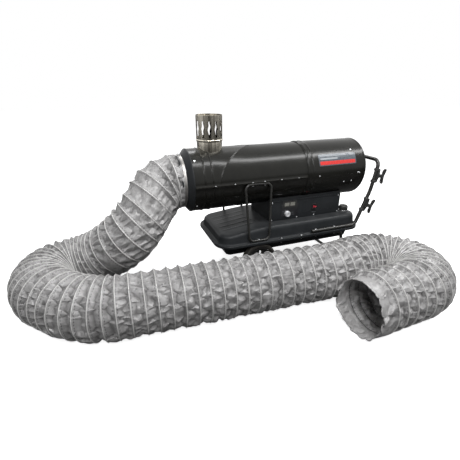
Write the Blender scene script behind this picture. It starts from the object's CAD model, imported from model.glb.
"""Looks of an indirect fired heater with a long flexible air duct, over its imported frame."""

import math

import bmesh
import bpy
import numpy as np
from mathutils import Matrix, Vector


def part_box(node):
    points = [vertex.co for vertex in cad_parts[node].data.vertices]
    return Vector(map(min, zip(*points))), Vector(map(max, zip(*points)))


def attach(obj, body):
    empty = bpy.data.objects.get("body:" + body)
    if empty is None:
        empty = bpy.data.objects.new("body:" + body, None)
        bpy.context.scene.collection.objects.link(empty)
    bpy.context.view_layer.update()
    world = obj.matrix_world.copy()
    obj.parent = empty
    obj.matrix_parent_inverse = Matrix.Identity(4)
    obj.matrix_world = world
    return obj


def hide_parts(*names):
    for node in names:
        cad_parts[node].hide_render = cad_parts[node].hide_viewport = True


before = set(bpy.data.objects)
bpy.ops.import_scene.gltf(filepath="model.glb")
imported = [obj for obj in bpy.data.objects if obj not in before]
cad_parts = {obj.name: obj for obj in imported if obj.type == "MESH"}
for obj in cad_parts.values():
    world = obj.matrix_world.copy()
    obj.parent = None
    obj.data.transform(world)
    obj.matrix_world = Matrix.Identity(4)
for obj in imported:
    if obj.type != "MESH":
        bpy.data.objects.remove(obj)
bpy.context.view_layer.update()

# Shapes are written in millimetres: x from the barrel's front end, y across, z above the floor.
MM = 0.001
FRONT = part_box("upper_front_shell")[0].x
SHEET = 1.5
AXIS, BARREL, SLEEVE = 500.0, 151.0, 153.8
JOINT, BARREL_END = 586.0, 946.0
CONE_FRONT = -29.0
FLUE_X, FLUE_RADIUS = 116.0, 60.0
DECK, RIM = 270.0, 203.0
ON_FLUE, ON_AXIS = (FLUE_X, 0, 0), (0, 0, AXIS)


def in_frame(points):
    """Points in millimetres from the barrel's front end, as metres in the frame."""
    places = np.asarray(points, float).reshape(-1, 3) * MM
    places[:, 0] += FRONT
    return places


def node_box(name):
    """A node's lowest and highest corner, in millimetres from the barrel's front end."""
    return [((corner.x - FRONT) / MM, corner.y / MM, corner.z / MM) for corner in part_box(name)]


def linked(name, data):
    thing = bpy.data.objects.new(name, data)
    bpy.context.scene.collection.objects.link(thing)
    return thing


def basis(x_axis, y_axis, z_axis, place):
    """The matrix that lays a shape along three axes at a place."""
    laid = Matrix((x_axis, y_axis, z_axis)).transposed().to_4x4()
    laid.translation = place
    return laid


def aim_camera():
    data = bpy.data.cameras.new("camera")
    data.sensor_width, data.lens, data.clip_end = 36, 25.93, 50
    right, up = Vector((0.93602, -0.35194, 0.0)), Vector((0.14108, 0.37523, 0.91613))
    ahead = Vector((0.32242, 0.85752, -0.40088))
    camera = linked("camera", data)
    camera.matrix_world = basis(right, up, -ahead, Vector((FRONT - 0.36288, -1.5537, 0.9268)))
    bpy.context.scene.camera = camera


aim_camera()


# Shader and geometry nodes

FLOAT, VECTOR, GEOMETRY = "NodeSocketFloat", "NodeSocketVector", "NodeSocketGeometry"
KIND_OF = {float: FLOAT, int: "NodeSocketInt", tuple: VECTOR}


def fill(tree, node, inputs):
    """Gives each input of a node its value, or a link where it is a socket."""
    for key, value in inputs.items():
        if isinstance(value, bpy.types.NodeSocket):
            tree.links.new(value, node.inputs[key])
        else:
            node.inputs[key].default_value = value


def put(tree, kind, inputs=None, result=0, **settings):
    """Adds a node and gives the socket of its result, or all its outputs if result is None."""
    made = tree.nodes.new(kind)
    for key, value in settings.items():
        setattr(made, key, value)
    fill(tree, made, inputs or {})
    return made.outputs if result is None else made.outputs[result]


def new_group(name, kind, inputs, outputs):
    """An empty group; each of its sockets is label: default, or label: kind of socket."""
    tree = bpy.data.node_groups.new(name, kind)
    for side, sockets in (("INPUT", inputs), ("OUTPUT", outputs)):
        for label, default in sockets.items():
            plain = isinstance(default, str)
            socket = tree.interface.new_socket(
                label, in_out=side, socket_type=default if plain else KIND_OF[type(default)])
            if not plain:
                socket.default_value = default
    return tree, tree.nodes.new("NodeGroupInput").outputs, tree.nodes.new("NodeGroupOutput")


def reckon(tree, operation, *values):
    return put(tree, "ShaderNodeMath", dict(enumerate(values)), operation=operation)


def reckon_vector(tree, operation, *values, result=0):
    return put(tree, "ShaderNodeVectorMath", dict(enumerate(values)), result, operation=operation)


def ranged(tree, value, low=0.0, high=1.0, start=0.0, end=1.0):
    return put(tree, "ShaderNodeMapRange", {"Value": value, "From Min": start, "From Max": end,
                                            "To Min": low, "To Max": high})


def cloudy(tree, where, scale, detail, roughness=0.5):
    return put(tree, "ShaderNodeTexNoise", {"Vector": where, "Scale": scale, "Detail": detail,
                                            "Roughness": roughness})


def bumped(tree, height, strength, distance, **more):
    return put(tree, "ShaderNodeBump", {"Height": height, "Strength": strength,
                                        "Distance": distance, **more})


def mixed(tree, factor, first, second):
    """A colour between two, by a mask; each colour is a tuple or a socket."""
    first, second = ((*c, 1.0) if isinstance(c, tuple) else c for c in (first, second))
    return put(tree, "ShaderNodeMix", {0: factor, 6: first, 7: second}, 2, data_type="RGBA")


# Shader groups


def make_mottle():
    """Soft uneven patches, from 0 to 1."""
    tree, given, out = new_group("mottle", "ShaderNodeTree", {
        "Vector": VECTOR, "Scale": 20.0, "Low": 0.35, "High": 0.65}, {"Mask": FLOAT})
    patches = cloudy(tree, given["Vector"], given["Scale"], 5.0, 0.6)
    fill(tree, out, {"Mask": ranged(tree, patches, start=given["Low"], end=given["High"])})
    return tree


def make_grain():
    """The fine relief of paint, rubber or moulded plastic."""
    tree, given, out = new_group("surface_grain", "ShaderNodeTree", {
        "Vector": VECTOR, "Scale": 600.0, "Depth": 0.0002}, {"Normal": VECTOR})
    grain = cloudy(tree, given["Vector"], given["Scale"], 3.0)
    fill(tree, out, {"Normal": bumped(tree, grain, 0.2, given["Depth"])})
    return tree


def make_brushing():
    """Long streaks in sheet metal, drawn out along the axis whose stretch is small."""
    tree, given, out = new_group("brushing", "ShaderNodeTree", {
        "Vector": VECTOR, "Stretch": (1.0, 1.0, 1.0), "Scale": 900.0, "Depth": 0.0001},
        {"Mask": FLOAT, "Normal": VECTOR})
    drawn = reckon_vector(tree, "MULTIPLY", given["Vector"], given["Stretch"])
    streaks = cloudy(tree, drawn, given["Scale"], 4.0)
    fill(tree, out, {"Mask": streaks, "Normal": bumped(tree, streaks, 0.3, given["Depth"])})
    return tree


def make_settled_dust():
    """A mask for the faces that look up, broken into patches."""
    tree, given, out = new_group("settled_dust", "ShaderNodeTree", {
        "Vector": VECTOR, "Scale": 30.0, "Amount": 0.3}, {"Mask": FLOAT})
    facing = put(tree, "ShaderNodeNewGeometry", result="Normal")
    level = ranged(tree, put(tree, "ShaderNodeSeparateXYZ", {"Vector": facing}, "Z"), start=0.35)
    broken = reckon(tree, "MULTIPLY", level,
                    cloudy(tree, given["Vector"], given["Scale"], 6.0, 0.7))
    fill(tree, out, {"Mask": reckon(tree, "MULTIPLY", broken, given["Amount"])})
    return tree


MOTTLE, GRAIN, BRUSHING, DUST = make_mottle(), make_grain(), make_brushing(), make_settled_dust()


def grouped(tree, group, **inputs):
    return put(tree, "ShaderNodeGroup", inputs, None, node_tree=group)


# Finishes: each is kept under its name, with the slot that its pieces take

FINISHES = {}
DUST_COLOUR = (0.30, 0.27, 0.23)
EVEN = (1.0, 1.0, 1.0)


def blank(name, slot):
    material = bpy.data.materials.new(name)
    material.use_nodes = True
    FINISHES[name] = material, slot
    tree = material.node_tree
    here = put(tree, "ShaderNodeTexCoord", result="Object")
    return tree, tree.nodes["Principled BSDF"], here


def coated(name, slot, colour, other, roughness, rougher, patch=25.0, grain=700.0, depth=0.0002,
           dust=0.1, metallic=0.0, specular=0.5, coat=0.0):
    """Paint, plastic or plating: two near colours, uneven gloss, a fine relief, some dust."""
    tree, shader, here = blank(name, slot)
    patches = grouped(tree, MOTTLE, Vector=here, Scale=patch)["Mask"]
    dusty = grouped(tree, DUST, Vector=here, Scale=patch * 2, Amount=dust)["Mask"]
    relief = grouped(tree, GRAIN, Vector=here, Scale=grain, Depth=depth)["Normal"]
    fill(tree, shader, {
        "Base Color": mixed(tree, dusty, mixed(tree, patches, colour, other), DUST_COLOUR),
        "Roughness": ranged(tree, patches, roughness, rougher), "Normal": relief,
        "Metallic": metallic, "Specular IOR Level": specular,
        "Coat Weight": coat, "Coat Roughness": 0.1})


def sheet_steel(name, slot, light, dark, roughness, rougher, stretch, scale, depth=0.0001):
    """Bare sheet with drawn streaks and a slightly uneven tint."""
    tree, shader, here = blank(name, slot)
    streaks = grouped(tree, BRUSHING, Vector=here, Stretch=stretch, Scale=scale, Depth=depth)
    patches = grouped(tree, MOTTLE, Vector=here, Scale=18.0, Low=0.3, High=0.75)["Mask"]
    blend = reckon(tree, "MULTIPLY", streaks["Mask"], patches)
    fill(tree, shader, {
        "Base Color": mixed(tree, blend, light, dark), "Metallic": 1.0,
        "Roughness": ranged(tree, streaks["Mask"], roughness, rougher),
        "Normal": streaks["Normal"]})


def flue_steel(name, slot, light, dark, soot):
    """Rolled tube: dark and light bands along it, and soot on its inside."""
    sooted, bare = 0.0590, 0.0596
    tree, shader, here = blank(name, slot)
    broad = grouped(tree, BRUSHING, Vector=here, Stretch=(1.0, 1.0, 0.015), Scale=34.0, Depth=0.0)
    fine = grouped(tree, BRUSHING, Vector=here, Stretch=(1.0, 1.0, 0.02), Scale=150.0,
                   Depth=0.00005)
    streaks = reckon(tree, "MULTIPLY_ADD", fine["Mask"], 0.3,
                     reckon(tree, "MULTIPLY", broad["Mask"], 0.7))
    body = mixed(tree, ranged(tree, streaks, start=0.44, end=0.60), light, dark)
    centred = reckon_vector(tree, "ADD", here, (-(FRONT + FLUE_X * MM), 0.0, 0.0))
    level = reckon_vector(tree, "MULTIPLY", centred, (1.0, 1.0, 0.0))
    away = reckon_vector(tree, "LENGTH", level, result="Value")
    fill(tree, shader, {
        "Base Color": mixed(tree, ranged(tree, away, start=sooted, end=bare), soot, body),
        "Roughness": ranged(tree, fine["Mask"], 0.14, 0.34), "Metallic": 1.0,
        "Normal": fine["Normal"]})


def duct_cloth(name, slot, light, dark, roughness):
    """Coated cloth: dark in its folds, faceted, with stitches beside the wires.

    The welt attribute holds the distance to the nearest wire and the way round the duct, both
    in millimetres, and 1 on the inside.
    """
    stitch_away, stitch_half, stitch_pitch, stitch_gap, wire_half = 5.0, 0.9, 6.0, 2.6, 2.3
    tree, shader, here = blank(name, slot)
    patches = grouped(tree, MOTTLE, Vector=here, Scale=55.0, Low=0.3, High=0.7)["Mask"]
    fold = put(tree, "ShaderNodeAttribute", result="Fac", attribute_name="fold")
    welt = put(tree, "ShaderNodeAttribute", result="Vector", attribute_name="welt")
    beside = put(tree, "ShaderNodeSeparateXYZ", {"Vector": welt}, None)
    body = mixed(tree, ranged(tree, patches, 0.0, 0.15), light, dark)
    both = mixed(tree, beside["Z"], body, tuple(min(0.8, 1.6 * c) for c in light))
    deep = mixed(tree, fold, both, tuple(0.45 * c for c in dark))
    line = reckon(tree, "COMPARE", reckon(tree, "ABSOLUTE", beside["X"]), stitch_away, stitch_half)
    dashes = reckon(tree, "PINGPONG", beside["Y"], stitch_pitch)
    stitch = reckon(tree, "MULTIPLY", line, reckon(tree, "GREATER_THAN", dashes, stitch_gap))
    wire_inside = reckon(tree, "MULTIPLY", reckon(tree, "LESS_THAN", beside["X"], wire_half),
                         beside["Z"])
    lines = reckon(tree, "MAXIMUM", stitch, wire_inside)
    cell = put(tree, "ShaderNodeTexVoronoi", {"Vector": here, "Scale": 62.0}, None, feature="F1")
    from_centre = reckon_vector(tree, "SUBTRACT", here, cell["Position"])
    tilt = reckon_vector(tree, "SUBTRACT", cell["Color"], (0.5, 0.5, 0.5))
    facet = reckon_vector(tree, "DOT_PRODUCT", from_centre, tilt, result="Value")
    weave = cloudy(tree, here, 260.0, 5.0, 0.65)
    fill(tree, shader, {
        "Base Color": mixed(tree, lines, deep, tuple(0.4 * c for c in dark)),
        "Roughness": ranged(tree, patches, roughness, roughness + 0.12),
        "Normal": bumped(tree, weave, 0.3, 0.001, Normal=bumped(tree, facet, 1.0, 0.5)),
        "Sheen Weight": 0.15, "Specular IOR Level": 0.7})


def window_glass(name, slot, light, dark):
    """The pale, glossy ground behind the display's digits."""
    tree, shader, here = blank(name, slot)
    patches = grouped(tree, MOTTLE, Vector=here, Scale=120.0)["Mask"]
    fill(tree, shader, {"Base Color": mixed(tree, patches, light, dark), "Roughness": 0.2,
                        "Coat Weight": 0.4})


coated("black_enamel", "black_enamel", (0.0085, 0.0085, 0.0073), (0.0108, 0.0108, 0.0092),
       0.23, 0.24, patch=14.0, grain=420.0, depth=0.000005, dust=0.01, specular=0.23)
coated("grey_enamel", "grey_enamel", (0.019, 0.021, 0.023), (0.024, 0.026, 0.028), 0.32, 0.40,
       patch=16.0, grain=480.0, depth=0.0001, dust=0.03, specular=0.12)
coated("tube_enamel", "black_enamel", (0.012, 0.012, 0.011), (0.018, 0.018, 0.016), 0.25, 0.35,
       patch=30.0, dust=0.03, specular=0.45)
coated("cast_aluminium", None, (0.46, 0.47, 0.48), (0.38, 0.39, 0.40), 0.42, 0.55, patch=60.0,
       grain=900.0, depth=0.0004, dust=0.15, metallic=1.0)
coated("plated_steel", "bare_steel", (0.90, 0.91, 0.92), (0.80, 0.81, 0.83), 0.22, 0.34,
       patch=300.0, dust=0.0, metallic=1.0)
coated("black_plastic", "black_plastic", (0.014, 0.014, 0.014), (0.022, 0.022, 0.021), 0.45, 0.6,
       patch=60.0, grain=1500.0, depth=0.0003, dust=0.08)
coated("rubber", "rubber", (0.020, 0.019, 0.017), (0.034, 0.032, 0.028), 0.7, 0.85, patch=35.0,
       grain=900.0, depth=0.0004, dust=0.2, specular=0.3)
coated("silver_paint", "silver_paint", (0.72, 0.73, 0.74), (0.62, 0.63, 0.65), 0.28, 0.4,
       patch=150.0, dust=0.0, metallic=0.35, coat=0.3)
coated("red_plastic", None, (0.72, 0.06, 0.09), (0.58, 0.04, 0.06), 0.25, 0.35, patch=200.0,
       dust=0.0)
coated("label_slate", "black_plastic", (0.055, 0.068, 0.082), (0.065, 0.080, 0.096), 0.25, 0.32,
       patch=60.0, dust=0.03)
coated("label_red", "red_plastic", (0.62, 0.030, 0.025), (0.52, 0.022, 0.02), 0.25, 0.32,
       patch=60.0, dust=0.03)
coated("label_silver", "silver_paint", (0.32, 0.34, 0.36), (0.26, 0.28, 0.30), 0.25, 0.35,
       patch=60.0, dust=0.03)
coated("panel_print", "silver_paint", (0.16, 0.17, 0.18), (0.13, 0.14, 0.15), 0.4, 0.5,
       patch=90.0)
coated("display_black", "black_plastic", (0.010, 0.010, 0.012), (0.014, 0.014, 0.016), 0.3, 0.42,
       patch=90.0, dust=0.02)
coated("circuit_board", None, (0.02, 0.12, 0.05), (0.015, 0.09, 0.04), 0.4, 0.5, patch=90.0)
coated("earth_wire", None, (0.20, 0.21, 0.19), (0.13, 0.14, 0.12), 0.4, 0.5, patch=400.0)
coated("digit_dark", "display_glass", (0.040, 0.040, 0.036), (0.030, 0.030, 0.027), 0.3, 0.4,
       patch=90.0)
coated("wire_welt", "grey_cloth", (0.66, 0.655, 0.645), (0.54, 0.535, 0.525), 0.35, 0.5,
       patch=160.0, grain=600.0, depth=0.0005, dust=0.0)
flue_steel("stainless", "stainless", (0.84, 0.79, 0.68), (0.15, 0.138, 0.115),
           (0.035, 0.032, 0.028))
sheet_steel("lid_steel", "dark_stainless", (0.22, 0.205, 0.17), (0.09, 0.085, 0.07), 0.3, 0.5,
            EVEN, 80.0)
sheet_steel("band_steel", "stainless", (0.32, 0.31, 0.30), (0.24, 0.235, 0.22), 0.3, 0.45,
            (0.05, 1.0, 1.0), 500.0)
sheet_steel("burnt_steel", None, (0.20, 0.17, 0.15), (0.07, 0.06, 0.06), 0.45, 0.7, EVEN, 60.0,
            depth=0.0005)
sheet_steel("brass", None, (0.62, 0.46, 0.20), (0.40, 0.29, 0.12), 0.25, 0.4, EVEN, 200.0)
window_glass("window_glass", None, (0.30, 0.295, 0.26), (0.24, 0.235, 0.21))
duct_cloth("cloth", "grey_cloth", (0.305, 0.30, 0.30), (0.22, 0.215, 0.215), 0.35)


# Meshes: a part is a pair of points in millimetres and faces


def mesh_of(name, parts, weld=False):
    """One mesh from several closed parts, its faces turned outwards."""
    points, faces = [], []
    for part_points, part_faces in parts:
        start = len(points)
        points.extend(part_points)
        faces.extend([start + i for i in face] for face in part_faces)
    mesh = bpy.data.meshes.new(name)
    mesh.from_pydata(in_frame(points).tolist(), [], faces)
    shaped = bmesh.new()
    shaped.from_mesh(mesh)
    if weld:
        bmesh.ops.remove_doubles(shaped, verts=shaped.verts, dist=1e-6)
    bmesh.ops.recalc_face_normals(shaped, faces=shaped.faces)
    shaped.to_mesh(mesh)
    shaped.free()
    return mesh


def bake(thing):
    """Makes what an object's modifiers give its plain mesh."""
    graph = bpy.context.evaluated_depsgraph_get()
    mesh = bpy.data.meshes.new_from_object(
        thing.evaluated_get(graph), preserve_all_data_layers=True, depsgraph=graph)
    thing.modifiers.clear()
    thing.data = mesh


def cut_from(thing, cutters):
    """Takes closed parts out of an object's mesh."""
    cutter = linked("cutter", mesh_of("cutter", cutters))
    modifier = thing.modifiers.new("cut", "BOOLEAN")
    modifier.operation, modifier.solver = "DIFFERENCE", "EXACT"
    modifier.object = cutter
    bake(thing)
    bpy.data.objects.remove(cutter)


def settle(thing, finish, body="heater", slot=None, replaces=None, smooth=35):
    """Gives an object its finish, and lets it ride with its body."""
    material, usual_slot = FINISHES[finish]
    mesh = thing.data
    mesh.materials.clear()
    mesh.materials.append(material)
    mesh.shade_smooth()
    if smooth:
        mesh.set_sharp_from_angle(angle=math.radians(smooth))
    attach(thing, body)
    if replaces:
        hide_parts(replaces)


def piece(name, parts, finish, cuts=(), **settings):
    """One object from its parts, less each group of parts in cuts."""
    thing = linked(name, mesh_of(name, parts, weld=True))
    for cutters in cuts:
        cut_from(thing, cutters)
    settle(thing, finish, **settings)


def rounded_profile(profile, radius, steps=3):
    """A closed outline whose corners are rounded, where there is room."""
    outline = []
    for i, corner in enumerate(profile):
        here = Vector(corner)
        before = Vector(profile[i - 1]) - here
        after = Vector(profile[(i + 1) % len(profile)]) - here
        if here.x < 1e-6 or before.length < 1e-6 or after.length < 1e-6:
            outline.append(tuple(here))
            continue
        reach = min(radius, 0.42 * before.length, 0.42 * after.length)
        first, last = here + before.normalized() * reach, here + after.normalized() * reach
        for k in range(steps + 1):
            a, b = 1 - k / steps, k / steps
            outline.append(tuple(a**2 * first + 2 * b * a * here + b**2 * last))
    return outline


def turned(profile, axis, centre, sides=96, rounding=0.0):
    """A body turned about an axis through centre, from a closed outline of (radius, along)."""
    outline = rounded_profile(profile, rounding) if rounding else profile
    count = len(outline)
    on_axis = [radius < 1e-6 for radius, _ in outline]
    points, faces = [], []
    for k in range(sides):
        angle = 2 * math.pi * k / sides
        a, b = k * count, (k + 1) % sides * count
        for i, (radius, along) in enumerate(outline):
            place = [radius * math.cos(angle), radius * math.sin(angle)]
            place.insert("xyz".index(axis), along)
            points.append([p + q for p, q in zip(place, centre)])
            j = (i + 1) % count
            if not (on_axis[i] and on_axis[j]):
                faces.append([a + i, a + j] + [b + n for n in (j, i) if not on_axis[n]])
    return points, faces


def rod(radius, start, end, axis, centre, sides, rounding=0.0):
    return turned([(0, start), (radius, start), (radius, end), (0, end)], axis, centre, sides,
                  rounding)


def lofted(rings, loop=False):
    """Rings of points joined one to the next; the ends are capped unless they loop."""
    count, total = len(rings[0]), len(rings)
    points = [tuple(p) for ring in rings for p in ring]
    faces = []
    for i in range(total if loop else total - 1):
        a, b = i * count, (i + 1) % total * count
        for k in range(count):
            n = (k + 1) % count
            faces.append((a + k, a + n, b + n, b + k))
    if not loop:
        faces += [range(count), range((total - 1) * count, total * count)]
    return points, faces


def rounded_route(corners, bends, step, closed=False):
    """Points and tangents along a route whose corners are arcs."""
    corners = [Vector(c) for c in corners]
    count = len(corners)
    bends = bends if isinstance(bends, list) else [bends] * count
    stations = []
    for i, here in enumerate(corners):
        if not closed and i in (0, count - 1):
            way = corners[1] - here if i == 0 else here - corners[i - 1]
            stations.append((here, way.normalized()))
            continue
        arriving = (here - corners[i - 1]).normalized()
        leaving = (corners[(i + 1) % count] - here).normalized()
        turn = arriving.angle(leaving)
        normal = (leaving - arriving).normalized()
        along = (arriving + leaving).normalized()
        centre = here + normal * (bends[i] / math.cos(turn / 2))
        steps = max(4, round(bends[i] * turn / step))
        for k in range(steps + 1):
            angle = turn * (k / steps - 0.5)
            c, s = math.cos(angle), math.sin(angle)
            stations.append((centre - normal * (bends[i] * c) + along * (bends[i] * s),
                             along * c + normal * s))
    return stations


TUBE_ENDS = ((1.0, 0.55), (0.87, 0.72), (0.5, 0.93), (0.0, 1.0))


def tube(stations, radius, sides, closed=False):
    """A round bar along stations, with softly rounded ends unless it is closed."""
    reference = Vector((0, 1, 0) if abs(stations[0][1].z) > 0.9 else (0, 0, 1))
    side = stations[0][1].cross(reference).normalized()
    sizes = [(point, tangent, 1.0) for point, tangent in stations]
    if not closed:
        first, last = ([(point + tangent * (sign * radius * 0.25 * (1 - away)), tangent, size)
                        for away, size in TUBE_ENDS]
                       for sign, (point, tangent) in ((1, stations[0]), (-1, stations[-1])))
        sizes = first + sizes[1:-1] + last[::-1]
    rings = []
    for point, tangent, size in sizes:
        side = (side - tangent * side.dot(tangent)).normalized()
        up = side.cross(tangent)
        angles = [2 * math.pi * k / sides for k in range(sides)]
        rings.append([point + side * (radius * size * math.cos(angle))
                      + up * (radius * size * math.sin(angle)) for angle in angles])
    return lofted(rings, loop=closed)


def slab(low, high, rounding=0.8, steps=2):
    """A block with rounded edges between two corners."""
    shape = bmesh.new()
    bmesh.ops.create_cube(shape, size=1.0)
    for vertex in shape.verts:
        vertex.co = [(a + b) / 2 + c * (b - a) for a, b, c in zip(low, high, vertex.co)]
    if rounding:
        bmesh.ops.bevel(shape, geom=list(shape.edges), offset=rounding, segments=steps,
                        affect="EDGES", profile=0.6)
    shape.verts.index_update()
    points = [tuple(v.co) for v in shape.verts]
    faces = [tuple(v.index for v in f.verts) for f in shape.faces]
    shape.free()
    return points, faces


def plate(outer, inner):
    """A closed sheet between two grids of points of the same size."""
    rows, columns = len(outer), len(outer[0])
    points = [p for grid in (outer, inner) for row in grid for p in row]
    under = rows * columns
    faces = []
    for i in range(rows - 1):
        for k in range(columns - 1):
            a, b = i * columns + k, (i + 1) * columns + k
            faces += [(a, a + 1, b + 1, b), (under + a, under + b, under + b + 1, under + a + 1)]
    edges = [(i * columns + k, (i + 1) * columns + k)
             for i in range(rows - 1) for k in (0, columns - 1)]
    edges += [(i * columns + k, i * columns + k + 1)
              for k in range(columns - 1) for i in (0, rows - 1)]
    faces += [(a, b, under + b, under + a) for a, b in edges]
    return points, faces


def moved(part, matrix):
    return [tuple(matrix @ Vector(p)) for p in part[0]], part[1]


# What repeats: screws, wire rings, ribs and knurls

FULL_TURN = 6.283


def growing_tree(name, inputs):
    return new_group(name, "GeometryNodeTree", {
        "Geometry": GEOMETRY, **inputs, "Seed": 1, "Material": "NodeSocketMaterial"},
        {"Geometry": GEOMETRY})


def on_points(tree, given, out, shape):
    """Puts the shape on every point, its Z along the point's facing, and gives it the finish."""
    facing = put(tree, "GeometryNodeInputNamedAttribute", {"Name": "facing"}, "Attribute",
                 data_type="FLOAT_VECTOR")
    upright = put(tree, "FunctionNodeAlignRotationToVector", {"Vector": facing}, axis="Z")
    chance = put(tree, "FunctionNodeRandomValue", {3: FULL_TURN, "Seed": given["Seed"]}, 1,
                 data_type="FLOAT")
    spin = put(tree, "FunctionNodeEulerToRotation",
               {"Euler": put(tree, "ShaderNodeCombineXYZ", {"Z": chance})})
    both = put(tree, "FunctionNodeRotateRotation", {"Rotation": upright, "Rotate By": spin},
               rotation_space="LOCAL")
    placed = put(tree, "GeometryNodeInstanceOnPoints", {
        "Points": given["Geometry"], "Instance": shape, "Rotation": both})
    real = put(tree, "GeometryNodeRealizeInstances", {"Geometry": placed})
    fill(tree, out, {"Geometry": put(tree, "GeometryNodeSetMaterial", {
        "Geometry": real, "Material": given["Material"]})})


def make_screw_tree():
    """A washer, a head of any number of sides and a shallow dome."""
    tree, given, out = growing_tree("screw_heads", {
        "Head Radius": 0.004, "Head Height": 0.002, "Washer Radius": 0.005, "Sides": 20})

    def lifted(geometry, height, size=EVEN):
        place = put(tree, "ShaderNodeCombineXYZ", {"Z": height})
        return put(tree, "GeometryNodeTransform", {"Geometry": geometry, "Translation": place,
                                                   "Scale": size})

    def share(label, part):
        return reckon(tree, "MULTIPLY", given[label], part)

    washer = put(tree, "GeometryNodeMeshCylinder", {
        "Vertices": 20, "Radius": given["Washer Radius"], "Depth": 0.0008})
    head = put(tree, "GeometryNodeMeshCylinder", {
        "Vertices": given["Sides"], "Radius": given["Head Radius"],
        "Depth": given["Head Height"]})
    dome = put(tree, "GeometryNodeMeshUVSphere", {
        "Segments": 16, "Rings": 8, "Radius": share("Head Radius", 0.86)})
    whole = tree.nodes.new("GeometryNodeJoinGeometry")
    for part in (lifted(washer, 0.0002), lifted(head, share("Head Height", 0.5)),
                 lifted(dome, share("Head Height", 0.9), (1.0, 1.0, 0.35))):
        tree.links.new(part, whole.inputs["Geometry"])
    on_points(tree, given, out, whole.outputs["Geometry"])
    return tree


def make_ring_tree():
    """A wire ring, square to its point's facing."""
    tree, given, out = growing_tree("wire_rings", {
        "Ring Radius": 0.128, "Wire Radius": 0.0018, "Round Steps": 72})
    ring = put(tree, "GeometryNodeCurvePrimitiveCircle", {
        "Resolution": given["Round Steps"], "Radius": given["Ring Radius"]})
    wire = put(tree, "GeometryNodeCurvePrimitiveCircle", {
        "Resolution": 8, "Radius": given["Wire Radius"]})
    on_points(tree, given, out, put(tree, "GeometryNodeCurveToMesh", {
        "Curve": ring, "Profile Curve": wire}))
    return tree


def make_knurl_tree():
    """Upright ribs in a circle round each point, as on a grip."""
    tree, given, out = growing_tree("knurls", {
        "Circle Radius": 0.025, "Rib Width": 0.002, "Rib Height": 0.02, "Count": 32})
    circle = put(tree, "GeometryNodeMeshCircle", {
        "Vertices": given["Count"], "Radius": given["Circle Radius"]})
    rib = put(tree, "GeometryNodeMeshUVSphere", {"Segments": 8, "Rings": 8, "Radius": 1.0})
    size = put(tree, "ShaderNodeCombineXYZ", {
        "X": given["Rib Width"], "Y": given["Rib Width"],
        "Z": reckon(tree, "MULTIPLY", given["Rib Height"], 0.5)})
    shaped = put(tree, "GeometryNodeTransform", {"Geometry": rib, "Scale": size})
    on_points(tree, given, out, put(tree, "GeometryNodeInstanceOnPoints", {
        "Points": circle, "Instance": shaped}))
    return tree


SCREWS, RINGS, KNURLS = make_screw_tree(), make_ring_tree(), make_knurl_tree()


def grown(name, tree, spots, finish, body="heater", smooth=35, **values):
    """Runs a tree on (place in millimetres, facing) spots, and leaves one plain mesh."""
    places, facings = zip(*spots)
    mesh = bpy.data.meshes.new(name)
    mesh.from_pydata(in_frame(places).tolist(), [], [])
    facing = mesh.attributes.new("facing", "FLOAT_VECTOR", "POINT")
    facing.data.foreach_set("vector", np.asarray(facings, float).ravel())
    thing = linked(name, mesh)
    modifier = thing.modifiers.new("grow", "NODES")
    modifier.node_group = tree
    values["Material"] = FINISHES[finish][0]
    for item in tree.interface.items_tree:
        label = item.name.replace(" ", "_")
        if item.in_out == "INPUT" and label in values:
            modifier[item.identifier] = values[label]
    bake(thing)
    settle(thing, finish, body=body, smooth=smooth)


# Flexible duct


class Lattice:
    """Smooth noise of about -0.6 to 0.6, the same in every run."""

    def __init__(self, seed):
        rng = np.random.default_rng(seed)
        self.order = np.concatenate([rng.permutation(256)] * 3)
        directions = rng.normal(size=(256, 3))
        self.slopes = directions / np.linalg.norm(directions, axis=1)[:, None]

    def __call__(self, *place):
        cell = [np.floor(c).astype(int) for c in place]
        part = [c - f for c, f in zip(place, cell)]
        ease = [p * p * p * (p * (p * 6 - 15) + 10) for p in part]
        total = np.zeros_like(part[0])
        for corner in np.ndindex(2, 2, 2):
            index, weight = 0, 1.0
            for c, step, share in zip(cell, corner, ease):
                index = self.order[index + ((c + step) & 255)]
                weight = weight * (share if step else 1 - share)
            slope = self.slopes[index]
            total = total + weight * sum(slope[..., i] * (part[i] - corner[i]) for i in range(3))
        return total


DUCT_CREST, DUCT_LIFT = 130.0, 0.4
# Corners of the route: x from the cone's front, y, share of the outlet's height, bend radius
DUCT_ROUTE = [
    (-97, 0, 1, 139), (-275, -131, 0.468, 186), (-438, 30, 0.035, 184), (-696, 5, 0, 141),
    (-647, -206, 0, 174), (-475, -393, 0, 300), (608, -455, 0, 500), (776, -418, 0, 300),
    (958, -471, 0, 141), (941, -705, 0, 141), (512, -733, 0, 0),
]
FIRST_RING, RING_GAP, END_CUFF = 26.0, 50, 46.0
CUFF_EDGE, CUFF_SEAT, WIRE_SEAT = 13.0, 124.7, 127.6
CLOTH_LEAST, CLOTH_MOST = 111.0, 131.5
LINING, LINING_GAP, CLOSE_LINING, LINING_BLEND = 104.0, 24.0, 560, 30.0
NET_COLUMNS, FACET_STEPS, ROW_GAP = 56, 3, 17.0
CLOTH_WEIGHT, CLOTH_LENGTH, CLOTH_ROUND, CLOTH_FULLER = 0.12, 61.0, 130.4, 3.5
CREASE_SLIP, CREASE_TURN = 0.28, 0.30
RIPPLE_IN, RIPPLE_OUT, RIPPLE_TOP = -15.0, 7.0, 3.0
TIGHTEST, SLACKEST, CUFF_SLACK = 1.015, 1.34, 1.01
PULL_ALONG, PULL_SLANTED, PULL_ROUND = 0.9, 0.8, 0.9
SAG_UNDER, DRAWN_ABOVE = 6.0, 5.5
CRINKLE_SIZE, CRINKLE_HIGH, CRINKLE_EVEN = 13.0, 0.9, 0.3
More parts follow.
